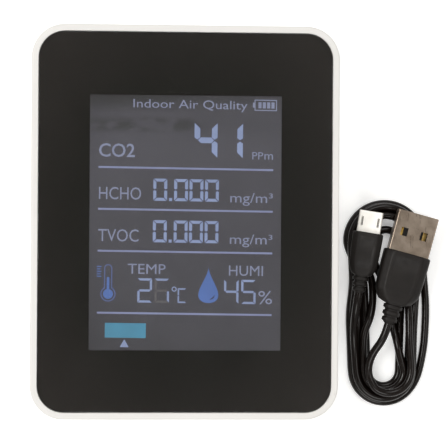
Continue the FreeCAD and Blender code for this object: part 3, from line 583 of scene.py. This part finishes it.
class Shade:
    """A material being built, with helpers that add and join its nodes."""

    def __init__(self, name):
        self.material = bpy.data.materials.new(name)
        self.material.use_nodes = True
        self.tree = self.material.node_tree
        self.shader = self.tree.nodes["Principled BSDF"]
        self.place = self.add("ShaderNodeTexCoord").outputs["Object"]

    def add(self, kind, **values):
        node = self.tree.nodes.new(kind)
        for key, value in values.items():
            setattr(node, key, value)
        return node

    def join(self, output, socket):
        self.tree.links.new(output, socket)

    def set(self, **values):
        for key, value in values.items():
            self.shader.inputs[key.replace("_", " ")].default_value = value

    def scaled(self, stretch, shift=(0, 0, 0)):
        """The place, scaled and then shifted."""
        mapping = self.add("ShaderNodeMapping")
        mapping.inputs["Scale"].default_value = stretch
        mapping.inputs["Location"].default_value = shift
        self.join(self.place, mapping.inputs["Vector"])
        return mapping.outputs["Vector"]

    def reach(self, centre, half_size):
        """How far a point is from a centre seen from above, 1 being half a width or half a height away."""
        x, y = centre
        half_x, half_y = half_size
        node = self.add("ShaderNodeVectorMath", operation="LENGTH")
        self.join(self.scaled((1 / half_x, 1 / half_y, 0), (-x / half_x, -y / half_y, 0)), node.inputs[0])
        return node.outputs["Value"]

    def noise(self, grain, detail=3.0, stretch=(1, 1, 1)):
        """Noise whose features are about grain millimetres across."""
        node = self.add("ShaderNodeTexNoise")
        node.inputs["Scale"].default_value = 1 / (grain * MM)
        node.inputs["Detail"].default_value = detail
        self.join(self.scaled(stretch), node.inputs["Vector"])
        return node.outputs["Fac"]

    def ramp(self, source, stops):
        node = self.add("ShaderNodeValToRGB")
        elements = node.color_ramp.elements
        while len(elements) < len(stops):
            elements.new(0.5)
        for element, (place, colour) in zip(elements, stops):
            element.position = place
            element.color = (*colour, 1)
        self.join(source, node.inputs["Fac"])
        return node.outputs["Color"]

    def mask(self, source, stops):
        """A ramp of greys, each stop being a place and a grey."""
        return self.ramp(source, [(place, (grey, grey, grey)) for place, grey in stops])

    def between(self, source, low, high, start=0.3, stop=0.7):
        """A value that goes from low to high as the source goes from start to stop.

        Noise keeps mostly between 0.3 and 0.7.
        """
        node = self.add("ShaderNodeMapRange")
        for key, value in (("From Min", start), ("From Max", stop), ("To Min", low), ("To Max", high)):
            node.inputs[key].default_value = value
        self.join(source, node.inputs["Value"])
        return node.outputs["Result"]

    def axis(self, letter):
        """The place along one axis, in metres."""
        node = self.add("ShaderNodeSeparateXYZ")
        self.join(self.place, node.inputs["Vector"])
        return node.outputs[letter]

    def mix(self, share, first, second):
        """First where share is 0, second where it is 1."""
        node = self.add("ShaderNodeMix", data_type="RGBA")
        self.join(share, node.inputs["Factor"])
        for index, value in zip(MIX_COLOURS, (first, second)):
            if isinstance(value, tuple):
                node.inputs[index].default_value = (*value, 1)
            else:
                self.join(value, node.inputs[index])
        return node.outputs[MIX_RESULT]

    def bump(self, source, height):
        """Relief of about height millimetres."""
        node = self.add("ShaderNodeBump")
        node.inputs["Distance"].default_value = height * MM
        self.join(source, node.inputs["Height"])
        self.join(node.outputs["Normal"], self.shader.inputs["Normal"])

    def colour(self, source):
        self.join(source, self.shader.inputs["Base Color"])

    def light(self, source):
        self.join(source, self.shader.inputs["Emission Color"])

    def rough(self, source):
        self.join(source, self.shader.inputs["Roughness"])


def mottled(name, dark, light, rough, grain, relief=0.0, metallic=0.0):
    """A surface that varies between two colours and two roughnesses with a fine relief."""
    shade = Shade(name)
    grains = shade.noise(grain)
    shade.colour(shade.ramp(grains, [(0.35, dark), (0.65, light)]))
    shade.rough(shade.between(grains, *rough))
    if relief:
        shade.bump(shade.noise(grain * 0.5), relief)
    shade.set(Metallic=metallic)
    return shade.material


def floor_paper():
    shade = Shade("floor_paper")
    shade.colour(shade.ramp(shade.noise(40.0), [(0.3, (0.92, 0.92, 0.92)), (0.7, (0.94, 0.94, 0.94))]))
    shade.set(Roughness=0.8, Emission_Color=(1, 1, 1, 1), Emission_Strength=FLOOR_GLOW)
    return shade.material


def black_ink():
    """Ink bonded to the back of the glass, so it hardly shines, and a little greyer towards the corners,
    where a reflection is painted in.
    """
    shade = Shade("black_ink")
    # painted reflection: the ink turns greyer towards the case's corners
    edge_reflection = shade.between(shade.reach((0, 0), CASE_HIGH.xy), 0.0, 1.0, 0.75, 1.25)
    ink = shade.ramp(shade.noise(3.0),
                     [(0.35, (0.0022, 0.0022, 0.002)), (0.65, (0.0038, 0.0036, 0.0033))])
    shade.colour(shade.mix(edge_reflection, ink, (0.019, 0.0152, 0.0138)))
    shade.set(Roughness=0.6, Specular_IOR_Level=0.05)
    return shade.material


def case_plastic():
    """White ABS with a spark-eroded texture and a few faint grey scuffs."""
    shade = Shade("case_plastic")
    tone = shade.ramp(shade.noise(22), [(0.3, (0.745, 0.732, 0.715)), (0.7, (0.775, 0.76, 0.743))])
    scuffs = shade.between(shade.noise(1.6, 6.0, (1, 0.35, 1)), 0.0, 0.35, 0.69, 0.78)
    shade.colour(shade.mix(scuffs, tone, (0.45, 0.44, 0.42)))
    shade.rough(shade.between(shade.noise(6), 0.36, 0.5))
    shade.bump(shade.noise(0.22, 4.0), 0.012)
    return shade.material


def front_glass():
    """Clear glass over the print and the display, faintly smeared by handling."""
    shade = Shade("front_glass")
    shade.rough(shade.between(shade.noise(14, 5.0, (1, 0.6, 1)), 0.015, 0.07))
    shade.set(Base_Color=(0.93, 0.935, 0.94, 1), IOR=1.5, Transmission_Weight=1.0)
    return shade.material


def glow(name, colour):
    """Display artwork lit from behind, with a slightly uneven backlight."""
    shade = Shade(name)
    dim = tuple(part * (1 - UNEVEN) for part in colour)
    shade.light(shade.ramp(shade.noise(7.0, 2.0), [(0.35, dim), (0.65, colour)]))
    shade.set(Base_Color=DARK_BASE, Roughness=0.5, Emission_Strength=1.0)
    return shade.material


def grey_leak(level):
    """The display's faint violet grey at a brightness."""
    return (1.02 * level, 0.985 * level, 1.23 * level)


def display_field():
    """The dark field: backlight leak, dimmer at the header and the left corners, with a few dark blotches.
    """
    shade = Shade("display_field")
    rise = shade.between(shade.axis("Y"), 0.0, 1.0, DISPLAY_Y - FIELD_HALF_Y, DISPLAY_Y + FIELD_HALF_Y)
    across = shade.between(shade.axis("X"), 0.0, 1.0, DISPLAY_X - FIELD_HALF_X, DISPLAY_X + FIELD_HALF_X)
    leak = shade.ramp(rise, [(place, grey_leak(level)) for place, level in FIELD_LEVELS])
    header = shade.mix(across, *[grey_leak(level) for level in HEADER_LEVELS])
    leak = shade.mix(shade.mask(rise, HEADER_FADE), leak, header)
    corners = shade.between(shade.reach(BRIGHT_AT, BRIGHT_HALF), 0.0, 1.0, 0.95, 1.4)
    leak = shade.mix(corners, leak, grey_leak(CORNER_LEVEL))
    # a band of darker blotches high on the display, left of its middle
    dark_blotches = shade.between(shade.noise(3.2, 2.0, (0.6, 1, 1)), 0.0, 1.0, 0.38, 0.52)
    blotched = shade.mix(dark_blotches, leak, grey_leak(BLOTCH_LEVEL))
    blotched = shade.mix(shade.mask(across, BLOTCH_END), blotched, leak)
    leak = shade.mix(shade.mask(rise, BLOTCH_BAND), leak, blotched)
    uneven = shade.add("ShaderNodeVectorMath", operation="SCALE")
    shade.join(leak, uneven.inputs[0])
    shade.join(shade.between(shade.noise(9, 4.0), 0.93, 1.07), uneven.inputs["Scale"])
    shade.light(uneven.outputs["Vector"])
    shade.rough(shade.between(shade.noise(0.4), 0.45, 0.6))
    shade.set(Base_Color=DARK_BASE, Emission_Strength=1.0)
    return shade.material


def brushed(name, dark, light, rough):
    """Sheet metal with fine drawing lines along Y."""
    shade = Shade(name)
    lines = shade.noise(0.25, 4.0, (1, 0.06, 1))
    shade.colour(shade.ramp(shade.noise(2.5, 3.0), [(0.3, dark), (0.7, light)]))
    shade.rough(shade.between(lines, *rough))
    shade.bump(lines, 0.004)
    shade.set(Metallic=1.0)
    return shade.material


def cord_skin():
    """Glossy black PVC, with the slight ripple of the conductors under it."""
    shade = Shade("cord_skin")
    ripple = shade.noise(1.8, 3.0)
    shade.colour(shade.ramp(shade.noise(5.0),
                            [(0.3, (0.0045, 0.0024, 0.0018)), (0.7, (0.007, 0.0042, 0.0033))]))
    shade.set(IOR=1.35)
    shade.rough(shade.between(ripple, 0.13, 0.24))
    shade.bump(ripple, 0.03)
    return shade.material


def plug_skin():
    """Satin black overmoulding with a fine eroded grain."""
    shade = Shade("plug_skin")
    shade.colour(shade.ramp(shade.noise(3.0),
                            [(0.3, (0.0055, 0.0038, 0.0031)), (0.7, (0.009, 0.0066, 0.0056))]))
    shade.set(IOR=1.35)
    shade.rough(shade.between(shade.noise(1.2), 0.4, 0.55))
    shade.bump(shade.noise(0.18, 4.0), 0.012)
    return shade.material


def board_mask():
    """Green solder mask over copper tracks."""
    shade = Shade("board_mask")
    cells = shade.add("ShaderNodeTexBrick")
    for key, value in (("Scale", 1 / (9 * MM)), ("Mortar Size", 0.035), ("Brick Width", 0.7),
                       ("Row Height", 0.22)):
        cells.inputs[key].default_value = value
    cells.inputs["Color1"].default_value = (0.006, 0.075, 0.03, 1)
    cells.inputs["Color2"].default_value = (0.009, 0.09, 0.036, 1)
    cells.inputs["Mortar"].default_value = (0.02, 0.15, 0.06, 1)
    shade.join(shade.place, cells.inputs["Vector"])
    shade.colour(cells.outputs["Color"])
    shade.rough(shade.between(shade.noise(4), 0.28, 0.42))
    shade.bump(cells.outputs["Fac"], 0.03)
    return shade.material


def woven_mesh(name, thread, gap_colour, pitch):
    """A fine square weave."""
    shade = Shade(name)
    waves = []
    for letter in "XYZ":
        node = shade.add("ShaderNodeTexWave", wave_type="BANDS", bands_direction=letter)
        node.inputs["Scale"].default_value = WAVE_SCALE / (pitch * MM)
        shade.join(shade.place, node.inputs["Vector"])
        waves.append(node.outputs["Fac"])
    highest = waves[0]
    for wave in waves[1:]:
        node = shade.add("ShaderNodeMath", operation="MAXIMUM")
        shade.join(highest, node.inputs[0])
        shade.join(wave, node.inputs[1])
        highest = node.outputs["Value"]
    shade.colour(shade.ramp(highest, [(0.75, gap_colour), (0.95, thread)]))
    shade.rough(shade.between(highest, 0.7, 0.5))
    shade.bump(highest, 0.05)
    return shade.material


def paint(materials):
    """Every CAD node that no piece replaces gets its finished material."""
    finishes = {
        "case": ["front_frame", "rear_cover", "power_button_cap", "mode_button_cap"],
        "glass": ["front_lens"],
        "ink": ["border_print", "lens_tape", "battery_pad"],
        "field": ["lcd_polariser"],
        "cell": ["lcd_front_glass", "lcd_rear_glass", "light_guide"],
        "white": ["backlight_frame", "diffuser_sheet", "co2_membrane", "hcho_sensor"],
        "cream": ["flex_connector", "battery_connector", "power_switch_plunger", "mode_switch_plunger"],
        "amber": ["lcd_flex"],
        "board": ["main_board"],
        "resin": ["board_components", "microcontroller", "climate_sensor", "buzzer", "power_switch",
                  "mode_switch", "usb_tongue", "micro_plug_tongue", "usb_a_tongue"],
        "gold": ["co2_sensor", "usb_a_contacts"],
        "steel": ["case_screws", "board_screws", "usb_socket", "tvoc_sensor"],
        "dull_steel": ["usb_a_shell"],
        "nickel": ["micro_plug_shell"],
        "mesh": ["dust_mesh", "tvoc_mesh", "hcho_mesh"],
        "foil": ["battery"],
        "foam": ["chamber_seal"],
        "red": ["battery_wires"],
    }
    for key, names in finishes.items():
        for name in names:
            slots = NODES[name].data.materials
            slots.clear()
            slots.append(materials[key])


def make_materials():
    return {
        "case": case_plastic(),
        "glass": front_glass(),
        "field": display_field(),
        "ink": black_ink(),
        "cell": mottled("display_cell", (0.10, 0.11, 0.12), (0.14, 0.15, 0.16), (0.05, 0.12), 6.0),
        "white": mottled("white_moulding", (0.72, 0.72, 0.70), (0.8, 0.8, 0.78), (0.5, 0.65), 4.0, 0.01),
        "cream": mottled("cream_nylon", (0.62, 0.56, 0.42), (0.72, 0.66, 0.52), (0.45, 0.6), 1.5, 0.01),
        "amber": mottled("amber_film", (0.35, 0.13, 0.015), (0.5, 0.2, 0.03), (0.25, 0.35), 2.0),
        "board": board_mask(),
        "resin": mottled("moulded_resin", (0.012, 0.012, 0.013), (0.022, 0.022, 0.024), (0.5, 0.68),
                         0.6, 0.01),
        "gold": mottled("gold_face", (0.62, 0.4, 0.1), (0.78, 0.55, 0.2), (0.25, 0.38), 2.0, 0.0, 1.0),
        "steel": brushed("plated_steel", (0.62, 0.61, 0.59), (0.74, 0.73, 0.71), (0.2, 0.34)),
        "dull_steel": brushed("dull_steel", (0.25, 0.198, 0.156), (0.37, 0.305, 0.25), (0.26, 0.4)),
        "nickel": brushed("satin_nickel", (0.84, 0.82, 0.78), (0.94, 0.92, 0.88), (0.5, 0.62)),
        "mesh": woven_mesh("woven_mesh", (0.09, 0.09, 0.09), (0.012, 0.012, 0.012), 0.35),
        "foil": brushed("pouch_foil", (0.55, 0.56, 0.58), (0.68, 0.69, 0.7), (0.35, 0.5)),
        "foam": mottled("grey_foam", (0.05, 0.05, 0.05), (0.11, 0.11, 0.11), (0.85, 0.95), 0.5, 0.12),
        "red": mottled("red_insulation", (0.36, 0.015, 0.012), (0.48, 0.025, 0.02), (0.35, 0.45), 1.0),
        "cord": cord_skin(),
        "plug": plug_skin(),
        "lit": glow("lit_segment", (0.268, 0.334, 0.538)),
        # painted shadow: the dim glow round each lit segment
        "painted_shadow": glow("segment_painted_shadow", (0.09, 0.104, 0.19)),
        "label": glow("lit_label", (0.246, 0.273, 0.402)),
        "rule": glow("lit_rule", (0.243, 0.270, 0.448)),
        "blue": glow("lit_blue", (0.082, 0.164, 0.45)),
        "dim_blue": glow("dim_blue", (0.085, 0.122, 0.3)),
        "teal": glow("lit_teal", (0.062, 0.268, 0.408)),
        "ghost": glow("unlit_segment", (0.102, 0.096, 0.102)),
        "dark": glow("display_shadow", (0.03, 0.035, 0.09)),
    }


# --- Lead pieces ----------------------------------------------------------------------------------
BEVEL_SHARES = (0.36, 0.46)       # of a grip's half width and half thickness that its bevels take off
PANEL_SHARE = 0.56                # of the half width that the sunk panel takes up
PANEL_SINK = 0.22

# Along a grip from its front edge, in millimetres: how far back, and how far its sides draw in.
GRIP_EDGE = ((0.0, 0.4), (0.12, 0.16), (0.4, 0.0))
# Share of its length, how far its sides draw in, and how far its panel is sunk.
GRIP_BODY = ((0.13, 0.0, 0.0), (0.15, 0.0, PANEL_SINK), (0.5, 0.12, PANEL_SINK), (0.76, 0.35, PANEL_SINK),
             (0.78, 0.37, 0.0))
# Share of its length, how far its sides draw in, and how square it still is.
GRIP_SHOULDER = ((0.9, 0.6, 0.95), (0.97, 1.0, 0.9), (1.0, 1.5, 0.85))
SHOULDER_TAPER = 1.4 / 4.4        # for each millimetre of half width, so a wider grip draws in more
THICKNESS_TAPER = 0.5             # how far its faces draw in for each millimetre that its sides do
THICKNESS_LIMIT = 0.8             # from here on its faces draw in no further

NECK_GAP = 0.4                    # from the grip to its first rib
RIB_COUNT = 3
RIB_SLIMMER = 0.09                # each rib is slimmer than the one before by this share of the first
RIB_FACET = 0.35
# Along a rib: share of the pitch, and of the rib's full size.
RIB_PROFILE = ((0.0, 0.8), (0.1, 0.97), (0.2, 1.0), (0.55, 1.0), (0.65, 0.97), (0.75, 0.8))
NECK_END = ((0.0, 1.32), (0.15, 1.2))       # how far past the neck's end, and the radius there


def make_cord(material):
    curve = bpy.data.curves.new("charging_cord", "CURVE")
    curve.dimensions = "3D"
    curve.bevel_depth = CORD_D / 2 * MM
    curve.bevel_resolution = 5
    curve.use_fill_caps = True
    spline = curve.splines.new("NURBS")
    points = [from_hank(p) for p in lead_route()]
    spline.points.add(len(points) - 1)
    for point, place in zip(spline.points, points):
        point.co = (*place, 1)
    spline.order_u = 3
    spline.use_endpoint_u = True
    spline.resolution_u = 5
    piece = add_piece("charging_cord", curve, "charging_lead", material)
    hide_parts("lead_hank", "lead_micro_run", "lead_usb_a_run")
    return piece


def section(y, half_w, half_t, facet, panel=0.0, count=72):
    """A closed outline across a grip: an ellipse at facet 0, a block with bevelled corners at facet 1."""
    bevel_w, bevel_t = BEVEL_SHARES[0] * half_w, BEVEL_SHARES[1] * half_t
    points = []
    for i in range(count):
        t = 2 * math.pi * (i + 0.5) / count
        c, s = abs(math.cos(t)), abs(math.sin(t))
        round_reach = 1 / math.hypot(c / half_w, s / half_t)
        bevel_reach = (bevel_t * half_w + bevel_w * (half_t - bevel_t)) / (bevel_t * c + bevel_w * s)
        block_reach = min(half_w / c, half_t / s, bevel_reach)
        reach = facet * block_reach + (1 - facet) * round_reach
        x, z = reach * math.cos(t), reach * math.sin(t)
        if abs(x) < PANEL_SHARE * half_w:
            z -= math.copysign(panel, z)
        points.append(Vector((x, y, z)) * MM)
    return points


def loft(name, sections, place, roll, turn, material):
    """A closed smooth skin over sections, set down at a plug's place."""
    turned = Matrix.Rotation(turn, 4, "Z") @ Matrix.Rotation(roll, 4, "Y")
    move = Matrix.Translation(from_hank(place)) @ turned
    bm = bmesh.new()
    loops = [[bm.verts.new(move @ p) for p in points] for points in sections]
    for before, after in zip(loops, loops[1:]):
        for i in range(len(before)):
            j = (i + 1) % len(before)
            bm.faces.new((before[i], before[j], after[j], after[i]))
    bm.faces.new(loops[0])
    bm.faces.new(loops[-1])
    bmesh.ops.recalc_face_normals(bm, faces=bm.faces)
    for face in bm.faces:
        face.smooth = len(face.verts) == 4
    piece = add_piece(name, mesh_of(bm, name), "charging_lead", material)
    return piece


def grip_sections(half_w, half_t, length, back, neck_w, neck_t):
    """A rounded front edge, a bevelled body with a sunk panel, a drawn-in shoulder and a ribbed neck."""
    rows = [(-along, half_w - inset, half_t - THICKNESS_TAPER * inset, 1) for along, inset in GRIP_EDGE]
    for share, inset, sink in GRIP_BODY:
        rows.append((-share * length, half_w - inset, half_t - THICKNESS_TAPER * inset, 1, sink))
    for share, inset, facet in GRIP_SHOULDER:
        thinner = THICKNESS_TAPER * min(inset, THICKNESS_LIMIT)
        rows.append((-share * length, half_w - SHOULDER_TAPER * half_w * inset, half_t - thinner, facet))
    pitch = (back - length - NECK_GAP) / RIB_COUNT
    for i in range(RIB_COUNT):
        start = length + NECK_GAP + i * pitch
        slim = 1 - RIB_SLIMMER * i
        for share, size in RIB_PROFILE:
            rows.append((-start - share * pitch, neck_w * slim * size, neck_t * slim * size, RIB_FACET))
    rows += [(-back - past, radius, radius, 0) for past, radius in NECK_END]
    return [section(*row) for row in rows]


def make_grips(material):
    micro = loft("micro_plug_moulding", grip_sections(*MICRO_GRIP, MICRO_BACK, *MICRO_NECK),
                 MICRO_PLACE, MICRO_ROLL, MICRO_TURN, material)
    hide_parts("micro_plug_grip")
    usb_a = loft("usb_a_moulding", grip_sections(*USB_A_GRIP, USB_A_BACK, *USB_A_NECK),
                 USB_A_PLACE, USB_A_ROLL, USB_A_TURN, material)
    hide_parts("usb_a_grip")
    return micro, usb_a


# --- Studio ---------------------------------------------------------------------------------------
def make_camera():
    camera = bpy.data.cameras.new("camera")
    camera.sensor_width = SENSOR
    camera.lens = SENSOR * VIEW_DISTANCE / VIEW_WIDTH
    camera.clip_start = 0.01
    camera.clip_end = 20
    holder = linked("camera", camera)
    aim = Vector((*AIM, CASE_HIGH.z))
    back = Vector((-math.sin(LEAN), 0, math.cos(LEAN)))
    holder.location = aim + back * VIEW_DISTANCE
    facing = Matrix.Rotation(-LEAN, 4, "Y") @ Matrix.Rotation(ROLL, 4, "Z")
    holder.rotation_euler = facing.to_euler()
    bpy.context.scene.camera = holder


def make_light(name, place, power, colour):
    light = bpy.data.lights.new(name, "AREA")
    light.size = SOFTBOX_SIZE
    light.energy = power
    light.color = colour
    holder = linked(name, light)
    holder.location = place
    holder.rotation_euler = (-Vector(place)).to_track_quat("-Z", "Y").to_euler()


def make_world():
    """A white studio, darker overhead and darkest straight above, where the glass front mirrors it."""
    world = bpy.data.worlds.new("studio")
    bpy.context.scene.world = world
    world.use_nodes = True
    tree = world.node_tree
    place = tree.nodes.new("ShaderNodeTexCoord")
    split = tree.nodes.new("ShaderNodeSeparateXYZ")
    ramp = tree.nodes.new("ShaderNodeValToRGB")
    stops = ramp.color_ramp.elements
    stops.new(0.5)
    for stop, (height, colour) in zip(stops, WORLD_STOPS):
        stop.position = height
        stop.color = (*colour, 1)
    tree.links.new(place.outputs["Generated"], split.inputs["Vector"])
    tree.links.new(split.outputs["Z"], ramp.inputs["Fac"])
    tree.links.new(ramp.outputs["Color"], tree.nodes["Background"].inputs["Color"])
    tree.nodes["Background"].inputs["Strength"].default_value = 1.0


def make_studio():
    bm = bmesh.new()
    bmesh.ops.create_grid(bm, x_segments=1, y_segments=1, size=FLOOR_HALF)
    mesh = mesh_of(bm, "floor")
    mesh.materials.append(floor_paper())
    floor = linked("floor", mesh)
    floor.location.z = CASE_LOW.z - FLOOR_GAP
    for softbox in SOFTBOXES:
        make_light(*softbox)
    make_world()
    bpy.context.scene.view_settings.view_transform = "Standard"


make_camera()
materials = make_materials()
cord = make_cord(materials["cord"])
grips = make_grips(materials["plug"])
paint(materials)
display_readings(materials)
display_labels(materials["label"])
display_icons(materials)
make_studio()
